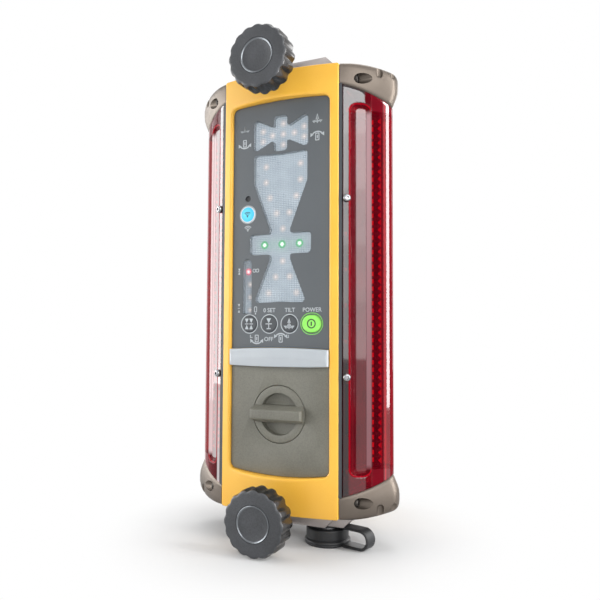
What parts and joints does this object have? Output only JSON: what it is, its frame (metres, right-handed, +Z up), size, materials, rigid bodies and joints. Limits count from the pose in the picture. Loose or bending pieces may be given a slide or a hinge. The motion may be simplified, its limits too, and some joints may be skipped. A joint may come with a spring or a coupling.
{
  "type": "laser receiver",
  "caption": "Mast-mounted laser receiver with red side windows, an arrow display, keys, a battery pack behind a twist latch, and knob-driven clamps.",
  "frame": {"origin": "on the floor under the middle of the receiver's box, where it stands upright", "axes": "+Z up along the mast, display facing -Y, connector on the +X side"},
  "size_m": [0.1644, 0.162, 0.3664],
  "materials": {
    "yellow_housing": "gloss moulded housing",
    "bare_casting": "satin die casting",
    "red_lens": "deep red translucent lens",
    "bumper_paint": "brown-grey satin moulding",
    "black_rubber": "matt rubber",
    "steel_screws": "plated steel",
    "dark_screws": "blackened steel",
    "green_board": "circuit board",
    "red_comb": "dark red moulding",
    "grey_panel": "dark grey satin film",
    "diffuser": "blue-grey diffuser",
    "amber_leds": "indicator",
    "green_leds": "indicator",
    "black_plastic": "matt moulding",
    "blue_lamp": "clear blue lamp lens",
    "silver_bar": "silver painted bar",
    "grey_keys": "dark grey key",
    "green_key": "bright green key",
    "grey_door": "fine textured taupe grey",
    "dark_knob": "fine grained charcoal",
    "cell_jacket": "printed jacket",
    "plated_contacts": "nickel plate",
    "grey_jaw": "grey anodised"
  },
  "bodies": {
    "receiver": {"front_housing": "yellow_housing", "rear_housing": "yellow_housing", "chassis": "bare_casting", "housing_screws": "dark_screws", "left_window": "red_lens", "right_window": "red_lens", "window_gaskets": "black_rubber", "window_screws": "steel_screws", "top_left_bumper": "bumper_paint", "top_right_bumper": "bumper_paint", "bottom_left_bumper": "bumper_paint", "bottom_right_bumper": "bumper_paint", "bumper_screws": "steel_screws", "sensor_boards": "green_board", "light_combs": "red_comb", "faceplate": "grey_panel", "display_window": "diffuser", "display_board": "green_board", "board_screws": "steel_screws", "arrow_leds": "amber_leds", "grade_leds": "green_leds", "key_switches": "black_plastic", "status_lamp": "blue_lamp", "light_sensor": "black_plastic", "trim_bar": "silver_bar", "main_board": "green_board", "tilt_sensor": "black_plastic", "radio_module": "plated_contacts", "battery_bay": "black_plastic", "top_clamp_frame": "bare_casting", "bottom_clamp_frame": "bare_casting", "clamp_bolts": "dark_screws", "connector_mount": "bare_casting", "connector_shell": "steel_screws", "connector_pins": "black_plastic", "connector_screws": "steel_screws", "cap_strap": "black_rubber"},
    "battery_pack": {"battery_door": "grey_door", "door_seal": "black_rubber", "battery_tray": "black_plastic", "battery_cells": "cell_jacket", "battery_contacts": "plated_contacts"},
    "latch": {"latch": "grey_door", "latch_tongue": "steel_screws", "latch_screw": "steel_screws"},
    "top_jaw": {"top_jaw": "grey_jaw", "top_jaw_liner": "black_rubber"},
    "bottom_jaw": {"bottom_jaw": "grey_jaw", "bottom_jaw_liner": "black_rubber"},
    "top_knob": {"top_knob": "dark_knob", "top_insert": "dark_knob", "top_spindle": "steel_screws"},
    "bottom_knob": {"bottom_knob": "dark_knob", "bottom_insert": "dark_knob", "bottom_spindle": "steel_screws"},
    "sensitivity_button": {"sensitivity_button": "grey_keys"},
    "zero_button": {"zero_button": "grey_keys"},
    "tilt_button": {"tilt_button": "grey_keys"},
    "power_button": {"power_button": "green_key"},
    "dust_cap": {"dust_cap": "black_rubber"}
  },
  "joints": [
    {"name": "top_jaw_travel", "type": "slide", "parent": "receiver", "child": "top_jaw", "axis": [0, 1, 0], "range_m": [-0.0101, 0.0121]},
    {"name": "top_knob_turn", "type": "hinge", "parent": "top_jaw", "child": "top_knob", "pos_m": [0, -0.049, 0.3432], "axis": [0, 1, 0], "range_deg": [-1200, 1440]},
    {"name": "bottom_jaw_travel", "type": "slide", "parent": "receiver", "child": "bottom_jaw", "axis": [0, 1, 0], "range_m": [-0.0101, 0.0121]},
    {"name": "bottom_knob_turn", "type": "hinge", "parent": "bottom_jaw", "child": "bottom_knob", "pos_m": [0, -0.049, 0.0232], "axis": [0, 1, 0], "range_deg": [-1200, 1440]},
    {"name": "battery_pull", "type": "slide", "parent": "receiver", "child": "battery_pack", "axis": [0, -1, 0], "range_m": [0, 0.055]},
    {"name": "latch_turn", "type": "hinge", "parent": "battery_pack", "child": "latch", "pos_m": [0, -0.041, 0.0921], "axis": [0, 1, 0], "range_deg": [0, 90]},
    {"name": "sensitivity_press", "type": "slide", "parent": "receiver", "child": "sensitivity_button", "axis": [0, 1, 0], "range_m": [0, 0.001], "stiffness_N_per_m": 800},
    {"name": "zero_press", "type": "slide", "parent": "receiver", "child": "zero_button", "axis": [0, 1, 0], "range_m": [0, 0.001], "stiffness_N_per_m": 800},
    {"name": "tilt_press", "type": "slide", "parent": "receiver", "child": "tilt_button", "axis": [0, 1, 0], "range_m": [0, 0.001], "stiffness_N_per_m": 800},
    {"name": "power_press", "type": "slide", "parent": "receiver", "child": "power_button", "axis": [0, 1, 0], "range_m": [0, 0.001], "stiffness_N_per_m": 800},
    {"name": "dust_cap_pull", "type": "slide", "parent": "receiver", "child": "dust_cap", "axis": [0, 0, -1], "range_m": [0, 0.014], "deforming": ["cap_strap"]}
  ],
  "couplings": [
    {"joint": "top_jaw_travel", "follows": "top_knob_turn", "m_per_rad": 0.00047746},
    {"joint": "bottom_jaw_travel", "follows": "bottom_knob_turn", "m_per_rad": 0.00047746}
  ]
}
